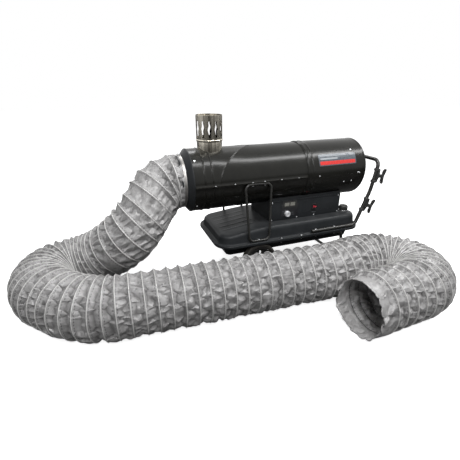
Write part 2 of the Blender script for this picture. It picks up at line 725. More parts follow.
MOUTH_FALL, MOUTH_TOP, MOUTH_GATHERS, MOUTH_BUNCHES, MOUTH_FOLDS = 3.0, 14.0, 15.0, 14.0, 26.0
LINING_THICK, WIRE_RING, WIRE_THICK, HEM = 1.3, 0.1282, 0.0016, 2.4
ROUNDS, QUICK_ROUNDS = 260, 60
SECTION_ENDS = (1130, 2330)
HANG_SHARES = ((0, 0.0), (80, 0.0), (220, 0.45), (520, 0.45), (800, 0.0), (4000, 0.0))
HANG_FACING = Vector((-0.881, 0.117, -0.458))


def duct_runs():
    """The duct's route as straight runs and arcs."""
    low = DUCT_CREST + DUCT_LIFT
    corners = [Vector((CONE_FRONT - 0.3, 0, AXIS))] + [
        Vector((CONE_FRONT + x, y, low + (AXIS - low) * share)) for x, y, share, _ in DUCT_ROUTE]
    runs, start = [], corners[0]
    for i, here in enumerate(corners[1:], 1):
        arriving = (here - corners[i - 1]).normalized()
        bend = DUCT_ROUTE[i - 1][3]
        last = i == len(corners) - 1
        leaving = arriving if last else (corners[i + 1] - here).normalized()
        turn = arriving.angle(leaving)
        end = here - arriving * (bend * math.tan(turn / 2))
        runs.append(((end - start).length, start, arriving, None, 0.0))
        if not last:
            inward = (leaving - arriving * leaving.dot(arriving)).normalized()
            runs.append((bend * turn, end, arriving, inward, bend))
            start = here + leaving * (bend * math.tan(turn / 2))
    return runs


def duct_station(runs, along):
    """Point, tangent and bend radius at a distance."""
    i = 0
    while i < len(runs) - 1 and along > runs[i][0]:
        along -= runs[i][0]
        i += 1
    _, start, arriving, inward, bend = runs[i]
    if inward is None:
        return start + arriving * along, arriving, 0.0
    c, s = math.cos(along / bend), math.sin(along / bend)
    point = start + arriving * (bend * s) + inward * (bend * (1 - c))
    return point, arriving * c + inward * s, bend


def duct_rings(runs, first, last):
    """Distances of the wire rings: closer in bends, wider where the duct hangs."""
    steps = round((last - first) / 4)
    part = (last - first) / steps
    sums, gathered = [], 0.0
    for i in range(steps):
        point, _, bend = duct_station(runs, first + part * (i + 0.5))
        crowding = 0.75 * DUCT_CREST / bend if bend else 0.0
        hang = (point.z - DUCT_CREST - DUCT_LIFT) / (AXIS - DUCT_CREST)
        gathered += (1 + crowding) * (1 - 0.3 * min(1.0, 4 * hang))
        sums.append(gathered)
    count = round(gathered * part / RING_GAP)
    wanted = [(k + 0.5) / count * gathered for k in range(count)]
    return [first + part * (int(np.searchsorted(sums, w)) + 0.5) for w in wanted]


def leaning(along, tangent):
    """A wire ring's facing: square to the duct, but more upright where the duct hangs."""
    share = float(np.interp(along, *zip(*HANG_SHARES)))
    return (tangent * (1 - share) + HANG_FACING * share).normalized()


def ramp(value, low, high):
    return np.clip((value - low) / (high - low), 0.0, 1.0)


def half_turned(angles):
    """Angles brought to within half a turn either way."""
    return (angles + np.pi) % (2 * np.pi) - np.pi


class DuctCloth:
    """The duct's cloth: a coarse net of creases, sewn to the wires and let down by its weight."""

    def __init__(self):
        self.runs = duct_runs()
        self.length = sum(run[0] for run in self.runs)
        self.rings = duct_rings(self.runs, FIRST_RING, self.length - END_CUFF)
        stops = [0.0, CUFF_EDGE, *self.rings, self.length]
        along, sewn, rows_in = [], [], []
        for i, (start, end) in enumerate(zip(stops, stops[1:])):
            steps = max(2, round((end - start) / ROW_GAP))
            for k in range(steps):
                along.append(start + (end - start) * k / steps)
                sewn.append(k == 0 or i == 0)
                rows_in.append(steps)
        self.sewn = np.array([*sewn, False])
        self.rows_in = np.array([*rows_in, rows_in[-1]])[:, None]
        self.take_frames(np.array([*along, self.length]), NET_COLUMNS)
        self.net = self.settled(ROUNDS)
        self.refine()
        self.normal = self.facing_out()
        self.fold = self.hollows()

    def take_frames(self, along, columns):
        """The duct's middle, its facing and the ways out from it, at each row of the net."""
        self.along = along
        frames = [duct_station(self.runs, s) for s in along]
        self.point = np.array([f[0] for f in frames])
        self.facing = np.array([leaning(s, f[1]) for s, f in zip(along, frames)])
        side = np.cross(self.facing, (0, 0, 1))
        self.side = side / np.linalg.norm(side, axis=1)[:, None]
        self.up = np.cross(self.side, self.facing)
        self.angle = np.arange(columns) * 2 * np.pi / columns
        self.out = self.outward(self.angle[None, :])
        self.from_wire = np.abs(along[:, None] - np.array(self.rings)[None, :]).min(axis=1)
        self.between = ((along > self.rings[0]) & (along < self.rings[-1])).astype(float)[:, None]

    def outward(self, angles):
        return (self.up[:, None] * np.cos(angles)[..., None]
                + self.side[:, None] * np.sin(angles)[..., None])

    def start(self):
        """The net before it settles, its creases unevenly in and out between the wires."""
        shape = len(self.along), len(self.angle)
        chance = np.random.default_rng(11)
        free = np.where(self.sewn, 0.0, 1.0)[:, None]
        step = CLOTH_LENGTH / self.rows_in
        self.slip = chance.uniform(-CREASE_SLIP, CREASE_SLIP, shape) * step * free
        turn = chance.uniform(-CREASE_TURN, CREASE_TURN, shape) * free
        self.turned = self.angle[None, :] + turn * 2 * np.pi / NET_COLUMNS
        seat = np.where(self.along < CUFF_EDGE + 1.0, CUFF_SEAT, WIRE_SEAT)[:, None]
        flat = self.point[:, None] + self.out * WIRE_SEAT
        self.direct = np.linalg.norm(flat[1:] - flat[:-1], axis=2)
        direct = np.concatenate([self.direct, self.direct[-1:]])
        slack = np.clip((step / direct - 1.0) / 0.2, 0.12, 1.0)
        ripple = slack * (chance.uniform(RIPPLE_IN, RIPPLE_OUT, shape)
                          - RIPPLE_TOP * np.cos(self.turned))
        return (self.point[:, None] + self.facing[:, None] * self.slip[..., None]
                + self.outward(self.turned) * (seat + free * ripple)[..., None])

    def settled(self, rounds):
        """The net pulled to the cloth's own lengths, a round at a time, as it sinks."""
        net = self.start()
        rows, columns = net.shape[:2]
        loose = np.where(self.sewn, 0.0, 1.0)[:, None, None] * np.ones((1, columns, 1))
        lengthwise = np.clip(CLOTH_LENGTH / self.rows_in[:-1], self.direct * TIGHTEST,
                             self.direct * SLACKEST)
        cuff = self.along[:-1] >= self.rings[-1] - 0.1
        lengthwise[cuff] = self.direct[cuff] * CUFF_SLACK

        def rest(shift):
            """Cloth between a point and the one a row on, so many columns round."""
            gap = np.roll(self.slip, -shift, axis=1)[1:] - self.slip[:-1] + lengthwise
            ahead = np.roll(self.turned, -shift, axis=1)[1:] - self.turned[:-1]
            return np.hypot(gap, half_turned(ahead) * CLOTH_ROUND)

        beside = half_turned(np.roll(self.turned, -1, axis=1) - self.turned)
        fuller = CLOTH_ROUND + (CLOTH_FULLER * ramp(self.from_wire, 0.0, 10.0)[:, None]
                                * self.between)
        crosswise = np.hypot(np.roll(self.slip, -1, axis=1) - self.slip, beside * fuller)
        even = np.add.outer(np.arange(rows - 1), np.arange(columns)) % 2 == 0
        bonds = ((0, rest(0), np.full(even.shape, PULL_ALONG)), (1, rest(1), PULL_SLANTED * even),
                 (-1, rest(-1), PULL_SLANTED * np.roll(~even, 1, axis=1)))

        def pull(first, first_free, second, second_free, length, strength):
            gap = second - first
            reach = np.linalg.norm(gap, axis=2, keepdims=True) + 1e-9
            step = gap * (strength * (reach - length[..., None]) / reach
                          / np.maximum(first_free + second_free, 1.0))
            return step * first_free, step * second_free

        for _ in range(rounds):
            net[..., 2] -= CLOTH_WEIGHT * loose[..., 0]
            for odd in (0, 1):
                top = np.arange(odd, rows - 1, 2)
                for shift, length, strength in bonds:
                    one, two = pull(net[top], loose[top], np.roll(net[top + 1], -shift, axis=1),
                                    loose[top + 1], length[top], strength[top][..., None])
                    net[top] += one
                    net[top + 1] -= np.roll(two, shift, axis=1)
                left = np.arange(odd, columns, 2)
                right = (left + 1) % columns
                one, two = pull(net[:, left], loose[:, left], net[:, right], loose[:, right],
                                crosswise[:, left], PULL_ROUND)
                net[:, left] += one
                net[:, right] -= two
            self.keep_in_place(net)
        return net

    def keep_in_place(self, net):
        """The cloth stays between the lining and the wires' height, lower down a bit fuller."""
        away = net - self.point[:, None]
        along = np.einsum("ijk,ik->ij", away, self.facing)
        flat = away - along[..., None] * self.facing[:, None]
        radius = np.linalg.norm(flat, axis=2)
        under = np.clip(0.55 - flat[..., 2] / radius, 0.0, 1.0)
        near = ramp(self.from_wire, 0.0, 12.0)[:, None]
        fullest = WIRE_SEAT + 0.4 + near * (SAG_UNDER * under
                                            - DRAWN_ABOVE * (1 - under) * self.between)
        held = np.clip(radius, CLOTH_LEAST, np.minimum(fullest, CLOTH_MOST))
        net += flat * (held / radius - 1)[..., None]
        net[..., 2] = np.maximum(net[..., 2], 0.5)

    def refine(self):
        """Flat facets between the creases, round wires, a fine crinkle and a slack mouth."""
        net, steps = self.net, FACET_STEPS
        rows, columns = net.shape[:2]
        round_by_one = np.roll(net, -1, axis=1)
        near, ahead, beside, far = net[:-1], net[1:], round_by_one[:-1], round_by_one[1:]
        even = (np.add.outer(np.arange(rows - 1), np.arange(columns)) % 2 == 0)[..., None]
        full = np.empty(((rows - 1) * steps + 1, columns * steps, 3))
        for i, k in np.ndindex(steps, steps):
            a, b = i / steps, k / steps
            rising = (near * (1 - max(a, b)) + far * min(a, b)
                      + (ahead * (a - b) if a > b else beside * (b - a)))
            falling = (near * (1 - a - b) + ahead * a + beside * b if a + b <= 1
                       else far * (a + b - 1) + ahead * (1 - b) + beside * (1 - a))
            full[i:-1:steps, k::steps] = np.where(even, rising, falling)
        for k in range(steps):
            full[-1, k::steps] = net[-1] * (1 - k / steps) + round_by_one[-1] * (k / steps)
        along = np.interp(np.arange(len(full)) / steps, np.arange(rows), self.along)
        at_wire = along > CUFF_EDGE + 1.0
        at_wire[::steps] &= self.sewn
        at_wire[np.arange(len(full)) % steps > 0] = False
        self.take_frames(along, columns * steps)
        full = np.where(at_wire[:, None, None], self.point[:, None] + self.out * WIRE_SEAT, full)
        crinkle = Lattice(19)(*(full[..., i] / CRINKLE_SIZE for i in range(3)))
        free = ramp(self.from_wire, 0.0, 8.0)[:, None]
        full += self.out * ((CRINKLE_EVEN - np.abs(crinkle)) * CRINKLE_HIGH * free)[..., None]
        self.slacken_mouth(full, free)
        self.net = full
        self.keep_in_place(full)

    def slacken_mouth(self, full, free):
        """Past the last wire the cloth gathers and falls in, most at its top, to a ragged edge."""
        past = ramp(self.along - self.rings[-1], 0.0, END_CUFF)[:, None]
        near_mouth = ramp(self.along - self.rings[-1], -30.0, 30.0)[:, None]
        top = np.clip(np.cos(self.angle - 0.35)[None, :], 0.0, 1.0)

        def waves(seed, rate, length):
            return Lattice(seed)(np.cos(self.angle)[None, :] * rate + 0 * past,
                                 np.sin(self.angle)[None, :] * rate + 0 * past,
                                 self.along[:, None] / length)

        gathers, bunches, folds = waves(27, 4.5, 46.0), waves(33, 13.0, 60.0), waves(41, 2.7, 48.0)
        fallen = past**1.4 * (MOUTH_FALL + MOUTH_TOP * top**2
                              + MOUTH_GATHERS * gathers * (0.45 + top))
        fallen += past**2.5 * MOUTH_BUNCHES * bunches * (0.25 + top)
        fallen += near_mouth * free * MOUTH_FOLDS * np.clip(0.30 - np.abs(folds), 0.0, 1.0)
        ragged = past**2 * 5.0 * np.roll(gathers, 5, axis=1) + past**3 * 12.0 * bunches * top
        full -= self.out * fallen[..., None]
        full += self.facing[:, None] * ragged[..., None]

    def facing_out(self):
        net = self.net
        around = np.roll(net, -1, axis=1) - np.roll(net, 1, axis=1)
        normal = np.cross(around, np.gradient(net, axis=0))
        normal /= np.linalg.norm(normal, axis=2, keepdims=True) + 1e-9
        turned_in = np.einsum("ijk,ijk->ij", normal, self.out).mean() < 0
        return -normal if turned_in else normal

    def hollows(self):
        """How deep each point lies in a crease, from 0 to 1."""
        net, reach, deepest = self.net, 3, 20.0
        bend = (np.roll(net, reach, axis=1) + np.roll(net, -reach, axis=1)) / 2 - net
        bend[reach:-reach] += (net[2 * reach:] + net[:-2 * reach]) / 2 - net[reach:-reach]
        return np.clip(np.einsum("ijk,ijk->ij", bend, self.normal) / deepest, 0.0, 1.0)


def duct_section(name, duct, first, last, replaces):
    """A closed length of the duct: its cloth, and a lining that follows it near the mouth."""
    close_from = duct.length - CLOSE_LINING
    start, end = np.searchsorted(duct.along, (first - 0.01, last - 0.01))
    kept = [start]
    for row in range(start + 1, end + 1):
        apart = duct.along[row] - duct.along[kept[-1]]
        if duct.along[row] >= close_from or row == end or apart >= LINING_GAP:
            kept.append(row)
    rows, inner_rows = np.arange(start, end + 1), np.array(kept)[::-1]
    follow = ramp(duct.along[inner_rows], close_from - LINING_BLEND, close_from)
    follow = (follow * follow * (3 - 2 * follow))[:, None, None]
    plain = duct.point[inner_rows][:, None] + duct.out[inner_rows] * LINING
    close = duct.net[inner_rows] - duct.normal[inner_rows] * LINING_THICK
    close[..., 2] = np.maximum(close[..., 2], LINING_THICK + 0.1)
    inner = plain * (1 - follow) + close * follow
    points, faces = lofted(np.concatenate([duct.net[rows], inner]), loop=True)
    mesh = bpy.data.meshes.new(name)
    mesh.from_pydata(in_frame(points).tolist(), [], faces)
    chosen = np.concatenate([rows, inner_rows])
    fold = mesh.attributes.new("fold", "FLOAT", "POINT")
    fold.data.foreach_set("value", duct.fold[chosen].ravel().astype(np.float32))
    welt = np.zeros((len(chosen), len(duct.angle), 3), np.float32)
    welt[..., 0] = duct.from_wire[chosen][:, None]
    welt[..., 1] = duct.angle[None, :] * DUCT_CREST
    welt[len(rows):, :, 2] = 1.0
    marks = mesh.attributes.new("welt", "FLOAT_VECTOR", "POINT")
    marks.data.foreach_set("vector", welt.ravel())
    settle(linked(name, mesh), "cloth", replaces=replaces, smooth=22)


def make_duct():
    duct = DuctCloth()
    cuts = [min(duct.rings, key=lambda s: abs(s - wanted)) for wanted in SECTION_ENDS]
    cuts = [0.0, *cuts, duct.length]
    for i, name in enumerate(("duct_cloth_fall", "duct_cloth_run", "duct_cloth_end")):
        duct_section(name, duct, cuts[i], cuts[i + 1], None if i else "flexible_duct")
    spots = []
    for s in duct.rings:
        point, tangent, _ = duct_station(duct.runs, s)
        spots.append((tuple(point), tuple(leaning(s, tangent))))
    grown("duct_wire_rings", RINGS, spots, "wire_welt", smooth=0, Ring_Radius=WIRE_RING,
          Wire_Radius=WIRE_THICK, Round_Steps=80)
    edge = duct.net[-1].copy()
    edge[:, 2] = np.maximum(edge[:, 2], HEM + 0.6)
    back = Vector(duct.facing[-1]) * HEM / 2
    hem = [(Vector(p) - back, (Vector(q) - Vector(p)).normalized())
           for p, q in zip(edge, np.roll(edge, -1, axis=0))]
    piece("duct_mouth_hem", [tube(hem, HEM, sides=8, closed=True)], "cloth", smooth=0)


make_duct()


def make_clamp():
    """The steel band that holds the cuff on the outlet, with its worm screw on top."""
    start, width, top, reach = CONE_FRONT - CUFF_EDGE, 11.0, AXIS + 127.4, 9.0
    rim = [(125.6, 0), (127.1, 0), (127.5, 1.6), (127.1, 3.2)]
    band = [(r, start + a) for r, a in rim] + [(r, start + width - a) for r, a in rim[::-1]]
    piece("hose_clamp", [turned(band, "x", ON_AXIS, sides=144)], "band_steel",
          replaces="clamp_band", smooth=50)
    middle = start + width / 2
    saddle = slab((middle - 5, -12, top - 0.6), (middle + 5, 12, top + 1.8), 0.6)
    worm = (middle, 0, top + 4.6)
    housing = rod(4.2, -reach, reach, "y", worm, 28, rounding=0.8)
    head = rod(4.0, -reach - 5.5, -reach - 0.6, "y", worm, 6, rounding=0.5)
    piece("clamp_worm_screw", [saddle, housing, head], "plated_steel", slot="stainless",
          replaces="clamp_screw")


make_clamp()


# Barrel

SEAM_REACH = BARREL + 12.0
SEAM_LIFT = 0.15
SEAM_TOP = [(SEAM_REACH, 0.0), (SEAM_REACH - 0.5, 0.15), (157.0, 0.0), (154.5, 0.5), (152.2, 2.1)]
SEAM_UNDER = [(SEAM_REACH, 0.0), (SEAM_REACH - 0.5, 0.0), (157.0, 0.0), (152.6, 0.0), (150.4, 1.0)]
SEAM_ANGLE = 3.4
FRONT_BEADS, REAR_BEADS, BEAD_RISE = (48, 86), (595, 620), 2.6
WELT_START, WELT_SWEEP, WELT_HALF = 120.0, 203.0, 4.5
WELT_RISES = ((-WELT_HALF, 0.0), (-3, 0.25), (-1.8, 0.9), (-0.6, 1.45), (0.6, 1.45), (1.8, 0.9),
              (3, 0.25), (WELT_HALF, 0.0))


def swell(x, middles, width):
    """The rise of rounded beads at x."""
    shares = [abs(x - middle) / (width / 2) for middle in middles]
    return sum(BEAD_RISE * (1 - share * share) ** 2 for share in shares if share < 1)


def front_shell(name, sign, node, cuts=()):
    """Half of the heating section: beads, a slanting welt, and a flange along each seam."""
    steps = 96
    angles = [math.radians(SEAM_ANGLE + (180 - 2 * SEAM_ANGLE) * i / steps)
              for i in range(steps + 1)]

    def section(x_of, rise):
        """The outer and the inner row of points where x is given for each angle."""
        rows = []
        for rim, lift, radius in ((SEAM_TOP, SEAM_LIFT + SHEET, BARREL),
                                  (SEAM_UNDER, SEAM_LIFT, BARREL - SHEET)):
            ends = [[(x_of(angle), side * y, AXIS + sign * (lift + z)) for y, z in rim]
                    for side, angle in ((1, angles[0]), (-1, angles[-1]))]
            arc = []
            for angle in angles:
                reach = radius + rise(x_of(angle), angle)
                arc.append((x_of(angle), reach * math.cos(angle),
                            AXIS + sign * reach * math.sin(angle)))
            rows.append(ends[0] + arc + ends[1][::-1])
        return rows

    def fade(angle):
        return min(1.0, (min(angle, math.pi - angle) - angles[0]) / 0.10)

    def welt_place(angle):
        return WELT_START + WELT_SWEEP * (1 - abs(math.cos(angle)))

    straight = sorted([0, 2, 20, 41, 98, 108]
                      + [middle + k * 1.25 for middle in FRONT_BEADS for k in range(-5, 6)])
    sections = [section(lambda angle: x, lambda x, angle: fade(angle) * swell(x, FRONT_BEADS, 10))
                for x in straight]
    sections += [section(lambda angle: welt_place(angle) + k, lambda x, angle: high * fade(angle))
                 for k, high in WELT_RISES]
    sections += [section(lambda angle: (1 - s) * (welt_place(angle) + WELT_HALF)
                         + s * (JOINT - 0.4), lambda x, angle: 0.0)
                 for s in (0.25, 0.5, 0.75, 1.0)]
    piece(name, [plate(*zip(*sections))], "black_enamel", cuts, replaces=node, smooth=38)


def rear_shell(name, sign, node):
    """Half of the fan section, a little wider than the heating section, hemmed at its end."""
    steps, overlap = 100, math.asin(6.0 / SLEEVE)
    first = -overlap if sign > 0 else overlap + 0.0025
    angles = [first + (math.pi - 2 * first) * i / steps for i in range(steps + 1)]
    stations = [JOINT, JOINT + 0.8, JOINT + 2.5, 640, 720, 840, 932, 939, 940.5, 942, 944.5,
                BARREL_END]
    stations += [middle + k * 1.25 for middle in REAR_BEADS for k in range(-4, 5)]
    outer, inner = [], []
    for x in sorted(stations):
        rise = swell(x, REAR_BEADS, 9)
        rise += 0.9 if 940 < x < BARREL_END else 0.45 if x == BARREL_END else 0.0
        rise -= 0.5 if x == JOINT else 0.0
        for row, radius in ((outer, SLEEVE), (inner, SLEEVE - SHEET)):
            reach = radius + rise
            row.append([(x, reach * math.cos(a), AXIS + sign * reach * math.sin(a))
                        for a in angles])
    piece(name, [plate(outer, inner)], "black_enamel", replaces=node, smooth=38)


front_shell("heating_shell_upper", 1, "upper_front_shell",
            cuts=[[rod(FLUE_RADIUS + 0.6, 560, 700, "z", ON_FLUE, 96)]])
front_shell("heating_shell_lower", -1, "lower_front_shell")
rear_shell("fan_shell_upper", 1, "upper_rear_shell")
rear_shell("fan_shell_lower", -1, "lower_rear_shell")
piece("warm_air_cone", [turned([
    (148.4, 12), (148.4, -0.3), (152.3, -0.3), (152.5, -5.0), (150.8, -7.4), (123.8, -28.6),
    (121.5, -29.4), (121.5, -53), (119.5, -53), (119.5, -30), (146.6, -8.2), (146.6, 12)],
    "x", ON_AXIS, sides=160, rounding=1.4)], "grey_enamel", replaces="outlet_cone", smooth=42)


# Flue

SLOTS, SLOT_LOW, SLOT_HEIGHT, SLOT_HALF, WAIST = 12, 702, 74, 8.5, 1.75


def slot_outline():
    """A cowl slot's outline: round ends and two waists, across and up."""
    half = []
    for i in range(25):
        share = i / 24
        end = math.sin(math.pi * min(max(share, 0.02), 0.98)) ** 0.3
        waist = WAIST * (1 - math.cos(4 * math.pi * share))
        half.append((SLOT_HALF * end - waist, SLOT_LOW + SLOT_HEIGHT * share))
    return half + [(-x, z) for x, z in reversed(half)]


def make_flue():
    bore = FLUE_RADIUS - SHEET
    pipe = turned([(bore, 576), (FLUE_RADIUS, 576), (FLUE_RADIUS, 698.2), (bore, 698.2)], "z",
                  ON_FLUE, sides=144, rounding=0.5)
    piece("flue_tube", [pipe], "stainless", replaces="flue_pipe")
    cowl = turned([(60.9, 682.2), (62.2, 682.2), (62.2, 686.2), (63.6, 687.6), (64.5, 690),
                   (63.6, 692.4), (62.2, 693.8), (62.2, 801.2), (61.6, 801.8), (60.9, 801.2),
                   (60.9, 694.2), (62.9, 690), (60.9, 685.8)], "z", ON_FLUE, sides=180)
    cutters = []
    for i in range(SLOTS):
        turn = math.radians(360 / SLOTS * (i + 0.5) - 90)
        out = Vector((math.cos(turn), math.sin(turn), 0))
        across = Vector((-math.sin(turn), math.cos(turn), 0))
        cutters.append(lofted([[Vector((FLUE_X, 0, z)) + out * radius + across * x
                                for x, z in slot_outline()]
                               for radius in (FLUE_RADIUS - 8, FLUE_RADIUS + 12)]))
    piece("flue_cowl_slotted", [cowl], "stainless", cuts=[cutters], replaces="flue_cowl",
          smooth=40)
    lid = turned([(0, 790.2), (57.5, 790.2), (57.5, 786.2), (60.4, 786.2), (60.4, 793.4),
                  (59.6, 794), (0, 793.2)], "z", ON_FLUE, sides=144, rounding=0.7)
    tab = slab((FLUE_X - 26, -52, 790), (FLUE_X - 18, -38, 796.5), 1.0)
    piece("flue_cap_disc", [lid, tab], "lid_steel", replaces="flue_lid")


make_flue()


# Tank

TANK_LEFT, TANK_RIGHT, TANK_HALF, TANK_CORNER, CORNER_STEPS = 90.0, 942.0, 206.0, 84.0, 14
BOW_END, BOW_LENGTH, BOW_DROP = 364.0, 255.0, 26.0
FILLER, DRAIN = (876, -104, 0), (816, 0, 0)
RIB_LENGTH, RIB_GAP, RIB_HIGH, RIB_HALF = 190, 46.0, 1.3, 9.5


def bow_fall(x):
    """How far the deck has sunk at x: level by the housing, then an easy slope to the front."""
    share = min(max((BOW_END - x) / BOW_LENGTH, 0.0), 1.08)
    soft = min(share, 1.0)
    return BOW_DROP * (0.45 * share + 0.55 * soft * soft * (3 - 2 * soft))


def tank_ring(inset, z):
    """The tank's plan drawn in by an inset: the near side, then the far side back again."""
    left, right, half = TANK_LEFT + inset, TANK_RIGHT - inset, TANK_HALF - inset
    radius = max(TANK_CORNER - inset, 21.0)
    corner = [(radius - radius * math.cos(math.pi / 2 * i / CORNER_STEPS),
               -half + radius - radius * math.sin(math.pi / 2 * i / CORNER_STEPS))
              for i in range(CORNER_STEPS + 1)]
    near = [(left + x, y) for x, y in corner]
    start = near[-1][0]
    near += [(start + (BOW_END + 10 - start) * (k + 1) / 12, -half) for k in range(12)]
    near += [(520, -half), (690, -half)] + [(right - x, y) for x, y in reversed(corner)]
    return [(x, y, z) for x, y in near] + [(x, -y, z) for x, y in reversed(near)]


def sunk_ring(inset, z):
    return [(x, y, z - bow_fall(x) * max(0.0, (z - RIM) / (DECK - RIM)))
            for x, y, z in tank_ring(inset, z)]


def hollow_form(ring, outer, inner):
    """An open pressing: outer rings from its mouth to its closed end, and inner rings back."""
    rings = [ring(inset, z) for inset, z in (*outer, *inner)]
    count = len(rings[0])
    points, faces = lofted(rings, loop=True)
    ends = (len(outer) - 1) * count, len(outer) * count
    del faces[ends[0]:ends[1]]
    for start in ends:
        for k in range(count // 2 - 1):
            faces.append((start + k, start + k + 1, start + count - 2 - k, start + count - 1 - k))
    return points, faces


def bent(inset, z, radius, angles):
    """(inset, z) steps round the tank's edge, from upright to level."""
    return [(inset + radius * (1 - math.cos(a)), z + radius * math.sin(a)) for a in angles]


def make_tank():
    outer = [(0.6, 188.4), (0.0, 190.0), (0.0, 199.0), *bent(0.0, 199.0, 4.0, (0.5, 1.0, 1.571)),
             (9.0, 203.0), (11.0, 202.2), (14.0, 202.2), (16.5, 203.2), (18.6, 206.0),
             (19.4, 210.0), (21.5, 230.0), (24.0, 248.0),
             *bent(24.0, 248.0, 22.0, [math.pi / 2 * i / 8 for i in range(1, 9)]),
             (60.0, 270.0), (110.0, 270.0)]
    inner = [(110.0, 268.5), (46.0, 268.5), (25.5, 248.0), (20.9, 212.0), (20.0, 201.5),
             (1.6, 201.5), (1.6, 188.4)]
    piece("tank_pressing_upper", [hollow_form(sunk_ring, outer, inner)], "grey_enamel",
          cuts=[[rod(17.2, 255, 280, "z", FILLER, 48)]], replaces="tank_upper", smooth=40)
    ribs = []
    for i in range(5):
        middle = RIB_GAP * (i - 2)
        rings = []
        for k in range(33):
            x = BOW_END - BOW_LENGTH / 2 - RIB_LENGTH / 2 + RIB_LENGTH * k / 32
            away = abs(2 * k / 32 - 1)
            height = RIB_HIGH * (1 - away**6) ** 0.5
            width = RIB_HALF * (0.5 + 0.5 * (1 - away**8))
            deck = DECK - bow_fall(x)
            turns = [math.pi * n / 10 for n in range(11)]
            rings.append([(x, middle + width * math.cos(turn),
                           deck - 0.6 + (height + 0.6) * math.sin(turn)) for turn in turns]
                         + [(x, middle, deck - 1.0)])
        ribs.append(lofted(rings))
    piece("tank_deck_ribs", ribs, "grey_enamel", smooth=60)
    outer = [(2.4, 201.0), (1.8, 200.6), (1.8, 199.9), (2.6, 199.6), (38.0, 199.6), (41.5, 197.6),
             (42.6, 194.0), (55.6, 144.0)]
    outer += bent(56.0, 141.0, 16.0, (0.25, 0.5, 0.8, 1.1, 1.35, 1.571))
    outer[8:] = [(inset, 2 * 141.0 - z) for inset, z in outer[8:]] + [(90.0, 125.0)]
    inner = [(90.0, 126.5), (72.5, 126.5), (57.8, 141.2), (43.6, 201.0)]
    piece("tank_pressing_lower", [hollow_form(tank_ring, outer, inner)], "grey_enamel",
          cuts=[[rod(7.4, 118, 132, "z", DRAIN, 32)]], replaces="tank_lower", smooth=40)
    neck = turned([(17, 270.3), (25.2, 270.3), (25.2, 272.3), (19.5, 272.6), (19.5, 285.2),
                   (17, 285.2)], "z", FILLER, sides=64, rounding=0.6)
    piece("filler_collar", [neck], "plated_steel", replaces="filler_neck")


def make_fuel_cap():
    (_, _, low), (_, _, high) = node_box("fuel_cap")
    cap = turned([(0, high - 6.5), (20.6, high - 6.5), (20.6, low), (23.0, low), (23.6, low + 1),
                  (23.6, high - 4), (21.5, high), (14, high - 0.4), (12, high - 1.6),
                  (0, high - 1.6)], "z", FILLER, sides=96, rounding=1.2)
    piece("filler_cap_body", [cap], "black_plastic", body="cap", replaces="fuel_cap")
    middle = (FILLER[0], FILLER[1], (low + high) / 2 - 1)
    grown("filler_cap_grip", KNURLS, [(middle, (0, 0, 1))], "black_plastic", body="cap",
          Circle_Radius=0.0234, Rib_Width=0.0014, Rib_Height=(high - low - 6) * MM, Count=30)


make_tank()
make_fuel_cap()


# Wheels

WHEEL_X, WHEEL_SIDE, WHEEL_Z = 313, 181.0, 93
TYRE = [(72.3, 14.5), (77, 17.6), (84, 18.0), (88.5, 17.2), (91.6, 14.0), (93, 9.5)]
GROOVE = [(92.2, -1.3), (92.85, -0.6), (93.0, 0.0), (92.85, 0.6), (92.2, 1.3)]


def make_wheel(name, side):
    hub = (WHEEL_X, side * WHEEL_SIDE, WHEEL_Z)
    profile = [(r, -a) for r, a in TYRE] + TYRE[::-1]
    tread = [turned(profile, "y", hub, sides=128, rounding=1.6)]
    tread += [turned([(r, at + a) for r, a in GROOVE], "y", hub, sides=96)
              for at in (-6.5, 0.0, 6.5)]
    piece(name + "_tread", tread, "rubber", body=name, replaces=name + "_tyre")


make_wheel("wheel_near", -1)
make_wheel("wheel_far", 1)


# Tubes: chassis, side loops and handle

RAIL_SIDE, RAIL_HIGH = 195.4, 190.9
LOOP_HIGH_SIDE, LOOP_LOW_SIDE = 157.6, 194.2
HANDLE_SIDE, HANDLE_LOW = 197.1, 212.8
RAIL_TUBE, LOOP_TUBE, HANDLE_TUBE = 8.5, 6.0, 9.5
RAIL_BEND, LOOP_BEND, HANDLE_BENDS = 34, 26, [36, 36, 300, 36]
LOOP_HIGH, LOOP_LOW = 491.9, 209.3
NEAR_RAIL = [(379, -RAIL_SIDE, RAIL_HIGH), (800, -RAIL_SIDE, RAIL_HIGH), (846, -RAIL_SIDE, 8.6)]
NEAR_HANDLE = [(612, -HANDLE_SIDE, HANDLE_LOW), (889, -HANDLE_SIDE, HANDLE_LOW),
               (960, -HANDLE_SIDE, 400), (990, -HANDLE_SIDE, 563)]


def there_and_back(near):
    return near + [(x, -y, z) for x, y, z in reversed(near)]


def make_tubes():
    rails = rounded_route(there_and_back(NEAR_RAIL), RAIL_BEND, 4.0)
    piece("chassis_rails_and_leg", [tube(rails, RAIL_TUBE, sides=28)], "tube_enamel",
          replaces="chassis_tube")
    for side, node in ((-1, "side_loop_near"), (1, "side_loop_far")):
        corners = [(x, side * y, z) for x, y, z in (
            (240, LOOP_HIGH_SIDE, LOOP_HIGH), (378, LOOP_HIGH_SIDE, LOOP_HIGH),
            (362, LOOP_LOW_SIDE, LOOP_LOW), (254, LOOP_LOW_SIDE, LOOP_LOW))]
        route = rounded_route(corners, LOOP_BEND, 3.0, closed=True)
        piece(node + "_bar", [tube(route, LOOP_TUBE, sides=24, closed=True)], "tube_enamel",
              replaces=node)
    handle = rounded_route(there_and_back(NEAR_HANDLE), HANDLE_BENDS + HANDLE_BENDS[::-1], 4.0)
    piece("push_handle", [tube(handle, HANDLE_TUBE, sides=32)], "tube_enamel",
          replaces="handle")


make_tubes()


# Cord winders: (u, v, w) is along the handle's tube, out from it and across

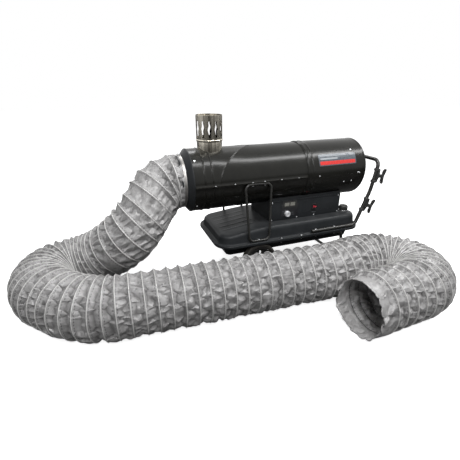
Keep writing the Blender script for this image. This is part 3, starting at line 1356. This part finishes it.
WINDER_HALF, WINDER_WING, WINDER_INNER, WINDER_REACH, WINDER_LEG = 37.0, 41.4, 9.8, 64.0, 13.0
WINDER_THICK, WINDER_ROUND = 9.0, 1.8
CLIP_BORE = 9.75


def winder_plate():
    """The winder's flat shape with rounded rims."""
    half, wing, inner, reach, leg = (WINDER_HALF, WINDER_WING, WINDER_INNER, WINDER_REACH,
                                     WINDER_LEG)
    outline = [(-half, inner - 4), (half, inner - 4), (half, inner + leg),
               (9.1, inner + leg * 1.4), (9.1, reach - leg * 1.3), (wing * 0.95, reach - leg * 0.9),
               (wing, reach), (wing * 0.8, reach + leg * 0.3), (0, reach - leg * 0.2)]
    outline += [(-u, v) for u, v in outline[7:1:-1]]
    aside = 500
    flat = [Vector((u - aside, v))
            for u, v in rounded_profile([(u + aside, v) for u, v in outline], 5.0, 5)]
    rims = ((WINDER_ROUND, 0.0), (WINDER_ROUND * 0.3, WINDER_ROUND * 0.3), (0, WINDER_ROUND))
    rings = []
    for sign, steps in ((-1, rims), (1, rims[::-1])):
        for inset, from_face in steps:
            w = sign * (WINDER_THICK / 2 - from_face)
            ring = []
            for k, here in enumerate(flat):
                edge = (flat[(k + 1) % len(flat)] - flat[k - 1]).normalized()
                place = here + Vector((-edge.y, edge.x)) * inset
                ring.append((place.x, place.y, w))
            rings.append(ring)
    return lofted(rings)


def make_winder(name, node, height, low, high):
    """A clip-on bracket for the cord: a leg along the tube, a slotted leg on its outside."""
    run = Vector(high) - Vector(low)
    place = Vector(low) + run * ((RIM + height - low[2]) / run.z)
    along, across = run.normalized(), Vector((0, 1, 0))
    out = along.cross(across).normalized()
    laid = basis(along, out if out.x > 0 else -out, across, place)
    reach, half, sides = WINDER_REACH, WINDER_WING * 0.16, (-1, 1)
    slot = reach - WINDER_LEG * 0.45
    cutters = [slab((side * WINDER_WING * 0.68 - half, slot - 2.5, -9),
                    (side * WINDER_WING * 0.68 + half, slot + 2.5, 9), 0.8) for side in sides]
    cutters.append(rod(CLIP_BORE, -60, 60, "x", (0, 0, 0), 48))
    clips = []
    for side in sides:
        start, end = side * (WINDER_HALF - 6.0) - 6, side * (WINDER_HALF - 6.0) + 6
        clips.append(turned([(CLIP_BORE, start), (13.8, start), (13.8, end), (CLIP_BORE, end)],
                            "x", (0, 0, 0), sides=48, rounding=1.0))
    ribs = [slab((side * 22 - 11, reach - 15.5, face * 4.5 - 0.7),
                 (side * 22 + 11, reach - 13.8, face * 4.5 + 0.7), 0.4)
            for side in sides for face in sides]
    ribs.append(slab((-2.0, 25, -5.2), (2.0, reach - 18, 5.2), 0.6))
    for suffix, parts, cuts, replaced in (
            ("", [winder_plate()], [[moved(cutter, laid) for cutter in cutters]], node),
            ("_clips", clips, (), None), ("_ribs", ribs, (), None)):
        piece(name + suffix, [moved(part, laid) for part in parts], "black_plastic", cuts,
              replaces=replaced)


make_winder("cord_bracket_lower", "cord_winder_lower", 125, *NEAR_HANDLE[1:3])
make_winder("cord_bracket_upper", "cord_winder_upper", 281, *NEAR_HANDLE[2:4])


# Control housing and panel

HOUSING_START, HOUSING_END, HOUSING_FACE = 398.0, 828.0, -120.0
PANEL_FACE, PANEL_LOW, PANEL_HIGH = -121.8, 270.3, 378.3
THROUGH_PANEL = (-130, -110)
DIAL_LOW, DIAL_HIGH = node_box("thermostat_knob")
DIAL_X, DIAL_Z = (DIAL_LOW[0] + DIAL_HIGH[0]) / 2, (DIAL_LOW[2] + DIAL_HIGH[2]) / 2
ON_DIAL = (DIAL_X, 0, DIAL_Z)
ROCKER_X, ROCKER_Z = 666.0, 321.3
LEVEL = Vector((0, 1, 0))


def make_housing():
    start, end = HOUSING_START, HOUSING_END
    hollow = slab((start + 1.5, HOUSING_FACE + 1.5, 250), (end - 1.5, 118.5, 389.5), 0)
    opening = slab((start + 8, -130, 278.4), (end - 8, -100, 370.2), 0)
    barrel_room = turned([(0, start - 20), (151.4, start - 20), (151.4, 585.2), (157.0, 585.6),
                          (157.0, 625.5), (154.2, 626.5), (154.2, end + 20), (0, end + 20)],
                         "x", ON_AXIS, sides=180)
    gland = rod(7.3, end - 10, end + 10, "x", (0, 62, 316), 32)
    piece("control_case", [slab((start, HOUSING_FACE, 270.3), (end, 120, 391), 2.2, 3)],
          "grey_enamel", cuts=([hollow], [opening], [barrel_room], [gland]),
          replaces="control_housing", smooth=40)


def through_panel(low, high):
    """A square cutter through the panel, from (x, z) to (x, z)."""
    (x0, z0), (x1, z1), (y0, y1) = low, high, THROUGH_PANEL
    return slab((x0, y0, z0), (x1, y1, z1), 0)


def display_room(grow):
    """A cutter the size of the display's frame, grown all round."""
    (x0, _, z0), (x1, _, z1) = node_box("display_frame")
    return through_panel((x0 - grow, z0 - grow), (x1 + grow, z1 + grow))


def make_panel():
    start, end = HOUSING_START, HOUSING_END
    openings = [display_room(-6),
                through_panel((ROCKER_X - 13.8, ROCKER_Z - 17.8),
                              (ROCKER_X + 13.8, ROCKER_Z + 17.8)),
                rod(6.3, *THROUGH_PANEL, "y", ON_DIAL, 40)]
    piece("control_panel_sheet",
          [slab((start, PANEL_FACE, PANEL_LOW), (end, -120.3, PANEL_HIGH), 0.5)],
          "grey_enamel", cuts=[openings], replaces="control_panel")
    piece("control_panel_fold",
          [slab((start, PANEL_FACE - 1.5, 373.0), (end, -121.0, PANEL_HIGH), 0.7)],
          "grey_enamel")
    x0, x1, z0, z1, width = 589.0, 792.0, 298.0, 362.0, 1.6
    strips = ((x0, x1, z0, z0 + width), (x0, x1, z1 - width, z1),
              (x0, x0 + width, z0, z1), (x1 - width, x1, z0, z1))
    piece("control_panel_bead", [slab((a, PANEL_FACE - 0.6, c), (b, PANEL_FACE + 0.2, d), 0.25)
                                 for a, b, c, d in strips], "grey_enamel")


def dial_basis(degrees, away, y):
    """Axes for a mark that points away from the dial's middle."""
    turn = math.radians(degrees)
    along = Vector((math.cos(turn), 0, math.sin(turn)))
    return basis(along, LEVEL, (-along.z, 0, along.x), Vector((DIAL_X, y, DIAL_Z)) + along * away)


def make_display():
    face = PANEL_FACE - 0.3
    piece("display_overlay", [slab((463.0, face - 0.35, 290.0), (563.0, PANEL_FACE, 356.0), 0.25)],
          "display_black", cuts=([rod(17.5, *THROUGH_PANEL, "y", ON_DIAL, 64)],
                                 [display_room(0.2)]))
    lines = [slab((DIAL_X + dx, face - 0.5, DIAL_Z + dz),
                  (DIAL_X + dx + width, face, DIAL_Z + dz + 0.9), 0)
             for dx, dz, width in ((22, 4, 18), (22, -2, 14), (24, -8, 20), (-31, 6, 9),
                                   (-32, -4, 10), (-28, 14, 8))]
    lines += [moved(slab((-1.6, -0.2, -0.45), (1.6, 0.2, 0.45), 0),
                    dial_basis(225 - 27 * k, 21.0, face - 0.3)) for k in range(11)]
    lines += [slab((x, PANEL_FACE - 0.12, z), (x + width, PANEL_FACE + 0.1, z + 1.0), 0)
              for x, z, width in ((652, 293, 28), (656, 289, 20))]
    piece("panel_marks", lines, "panel_print")


def make_dial():
    front, back = DIAL_LOW[1], DIAL_HIGH[1]
    grip = turned([(0, back), (15.8, back), (16.0, back - 1.0), (15.0, front + 4),
                   (13.6, front + 0.8), (11.5, front), (10.5, front + 0.9), (0, front + 0.9)],
                  "y", ON_DIAL, sides=72, rounding=0.8)
    piece("thermostat_dial", [grip], "silver_paint", body="knob", replaces="thermostat_knob")
    mark = moved(slab((2.0, -0.3, -0.8), (10.0, 0.6, 0.8), 0.2), dial_basis(60, 0.0, front + 0.6))
    piece("thermostat_dial_mark", [mark], "digit_dark", body="knob", slot="black_plastic")
    middle = (DIAL_X, (front + back) / 2 + 1.2, DIAL_Z)
    grown("thermostat_dial_grip", KNURLS, [(middle, (0, 1, 0))], "silver_paint", body="knob",
          Circle_Radius=0.0152, Rib_Width=0.0009, Rib_Height=0.0085, Count=36)


make_housing()
make_panel()
make_display()
make_dial()


# Generic label on the fan section

LABEL_BASE = SLEEVE + 0.15
LABEL_STEPS = (0.0, 0.1, 0.3, 0.6, 1.0)


def curved_patch(x0, x1, low, high, radius, thick, corner, across=20):
    """A thin sheet bent round the barrel, its corners rounded; low and high are in degrees."""
    rows = [], []
    for x in ([x0 + corner * s for s in LABEL_STEPS] + [(x0 + x1) / 2]
              + [x1 - corner * s for s in reversed(LABEL_STEPS)]):
        away = corner - min(x - x0, x1 - x, corner)
        cut = (corner - math.sqrt(corner**2 - away**2)) * math.degrees(1 / radius)
        a, b = low + cut, high - cut
        angles = [math.radians(a + (b - a) * k / across) for k in range(across + 1)]
        for row, reach in zip(rows, (radius + thick, radius)):
            row.append([(x, -reach * math.cos(t), AXIS + reach * math.sin(t)) for t in angles])
    return plate(*rows)


for name, finish, patches in (
        ("side_label_field", "label_slate", [(654, 884, 17.5, 40.5, LABEL_BASE, 0.25, 7)]),
        ("side_label_stripe", "label_red", [(660, 878, 19.4, 26.4, LABEL_BASE + 0.25, 0.12, 4)]),
        ("side_label_lines", "label_silver", [
            (664, 874, 36.6, 37.3, LABEL_BASE + 0.25, 0.12, 0.4),
            (664, 770, 29.6, 32.8, LABEL_BASE + 0.25, 0.12, 3)])):
    piece(name, [curved_patch(*patch) for patch in patches], finish, smooth=20)


# Screws and bolts

UP, DOWN = (0, 0, 1), (0, 0, -1)


def screws(name, spots, head, height, washer, sides=20):
    grown(name, SCREWS, spots, "plated_steel", smooth=30, Head_Radius=head * MM,
          Head_Height=height * MM, Washer_Radius=washer * MM, Sides=sides)


def on_both_sides(spots):
    return [((x, side * y, z), (u, side * v, w))
            for side in (-1, 1) for (x, y, z), (u, v, w) in spots]


def on_round(x, z, radius):
    """A spot on a shell of that radius, facing out from its axis."""
    rise = (z - AXIS) / radius
    level = math.sqrt(1 - rise * rise)
    return (x, (radius + 0.1) * level, z), (0, level, rise)


def make_screws():
    seam_side, seam_fall = 157.4, math.radians(-0.8)
    spots = [((x, seam_side, AXIS + 1.8), UP) for x in (93, 189, 279, 343, 434, 531)]
    spots += [on_round(x, AXIS + SLEEVE * math.sin(seam_fall), SLEEVE)
              for x in (656, 898)]
    spots += [on_round(x, z, SLEEVE) for x, z in ((866, 613), (908, 496), (818, 453), (866, 453))]
    spots += [on_round(12, z, BARREL) for z in (613, 402)]
    screws("barrel_screws", on_both_sides(spots), head=3.4, height=1.8, washer=4.6)
    spots = [((x, PANEL_FACE - 0.05, z), (0, -1, 0)) for x, z in (
        (408.6, 369.8), (407.5, 276.5), (558.7, 276.5), (666.2, 276.5), (819.5, 276.5),
        (814.5, 369.9))]
    screws("panel_screws", spots, head=2.6, height=1.4, washer=3.5)
    spots = [((x, 197.5, RIM + 0.1), UP) for x in (431, 549)]
    spots += [((x, HANDLE_SIDE, HANDLE_LOW + HANDLE_TUBE - 0.2), UP) for x in (636, 753)]
    spots += [((304, LOOP_LOW_SIDE, LOOP_LOW + 5.7), UP)]
    spots += [((x, RAIL_SIDE, RAIL_HIGH - RAIL_TUBE + 0.1), DOWN) for x in (430, 549, 641, 759)]
    spots += [((x, seam_side, LOOP_HIGH - LOOP_TUBE - 0.1), DOWN) for x in (279, 343)]
    screws("frame_bolts", on_both_sides(spots), head=4.2, height=2.6, washer=5.6, sides=6)


def make_digits():
    """Figures of seven bars on each window, all bars faint."""
    w, h, t = 3.9, 6.3, 1.3
    level = [(0, v, w - t, t / 2) for v in (h, 0, -h)]
    upright = [(u, v, t / 2, h / 2 - t) for v in (h / 2, -h / 2) for u in (-w, w)]
    bars = []
    for low, high in (node_box("display_lens_1"), node_box("display_lens_2")):
        face, middle = low[1] - 0.05, (low[2] + high[2]) / 2
        for shift in (-6.2, 6.2):
            x = (low[0] + high[0]) / 2 + shift
            bars += [slab((x + u - wide, face - 0.12, middle + v - tall),
                          (x + u + wide, face + 0.1, middle + v + tall), 0)
                     for u, v, wide, tall in level + upright]
    piece("display_digits", bars, "digit_dark")


make_screws()
make_digits()


# Parts of the solid model that keep their shape and get a finish

NODE_FINISHES = {
    "burnt_steel": ("combustion_chamber", "burner_head"),
    "brass": ("fuel_nozzle",),
    "tube_enamel": ("motor_bracket", "axle_carrier", "intake_guard"),
    "plated_steel": ("motor_shaft", "axle", "axle_nut_near", "axle_nut_far", "knob_spindle",
                     "fan_nut", "drain_plug", "ignition_transformer"),
    "cast_aluminium": ("motor", "fuel_pump", "fan"),
    "black_plastic": ("wheel_near_hub", "wheel_far_hub", "cable_gland", "display_frame",
                      "rocker_bezel", "thermostat_body"),
    "red_plastic": ("rocker_switch",),
    "window_glass": ("display_lens_1", "display_lens_2"),
    "circuit_board": ("control_board",),
    "earth_wire": ("earth_lead",),
}
for finish, names in NODE_FINISHES.items():
    for name in names:
        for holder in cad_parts[name].material_slots:
            holder.material = FINISHES[finish][0]


# Floor, background and light


def make_floor():
    """A floor that keeps the shadow, nearly white to the camera and dark to all other light."""
    reach = 14.0
    mesh = bpy.data.meshes.new("floor")
    mesh.from_pydata([(-reach, -reach, 0), (reach, -reach, 0), (reach, reach, 0),
                      (-reach, reach, 0)], [], [(0, 1, 2, 3)])
    material = bpy.data.materials.new("white_floor")
    material.use_nodes = True
    tree = material.node_tree
    shader = tree.nodes["Principled BSDF"]
    fill(tree, shader, {"Base Color": (0.11, 0.11, 0.11, 1), "Roughness": 0.9,
                        "Specular IOR Level": 0.1})
    pale = put(tree, "ShaderNodeBsdfDiffuse", {"Color": (0.88, 0.88, 0.88, 1)})
    glow = put(tree, "ShaderNodeEmission", {"Color": (1, 1, 1, 1), "Strength": 0.86})
    to_camera = put(tree, "ShaderNodeLightPath", result="Is Camera Ray")
    seen = put(tree, "ShaderNodeMixShader", {
        0: to_camera, 1: shader.outputs["BSDF"],
        2: put(tree, "ShaderNodeAddShader", {0: pale, 1: glow})})
    fill(tree, tree.nodes["Material Output"], {"Surface": seen})
    mesh.materials.append(material)
    linked("floor", mesh)


def make_world():
    """White to the camera, in mirrors and through glass; dimmer as a light on the object."""
    world = bpy.data.worlds.new("studio")
    bpy.context.scene.world = world
    world.use_nodes = True
    tree = world.node_tree
    path = put(tree, "ShaderNodeLightPath", result=None)
    seen = reckon(tree, "MAXIMUM", path["Is Camera Ray"], path["Is Glossy Ray"])
    clear = reckon(tree, "MAXIMUM", seen, path["Is Transmission Ray"])
    fill(tree, tree.nodes["Background"], {"Color": (1, 1, 1, 1),
                                          "Strength": ranged(tree, clear, 0.22, 1.0)})


def soft_lamp(name, place, towards, length, depth, power):
    """An area lamp at a place, its long side along the barrel, that looks at a point."""
    data = bpy.data.lights.new(name, "AREA")
    data.shape = "RECTANGLE"
    data.size, data.size_y, data.energy = length, depth, power
    back = (Vector(place) - Vector(towards)).normalized()
    across = (Vector((1, 0, 0)) - back * back.x).normalized()
    linked(name, data).matrix_world = basis(across, back.cross(across), back, Vector(place))


make_floor()
make_world()
soft_lamp("key_lamp", (0.5, -0.75, 2.3), (-0.1, -0.1, 0.6), 3.2, 0.3, 60)
soft_lamp("broad_lamp", (-0.95, -2.2, 2.45), (-0.3, -0.3, 0.2), 1.0, 1.0, 45)
soft_lamp("back_lamp", (0.0, 2.3, 3.3), (-0.3, 0.0, 0.3), 1.2, 0.8, 30)

bpy.context.scene.view_settings.view_transform = "Standard"
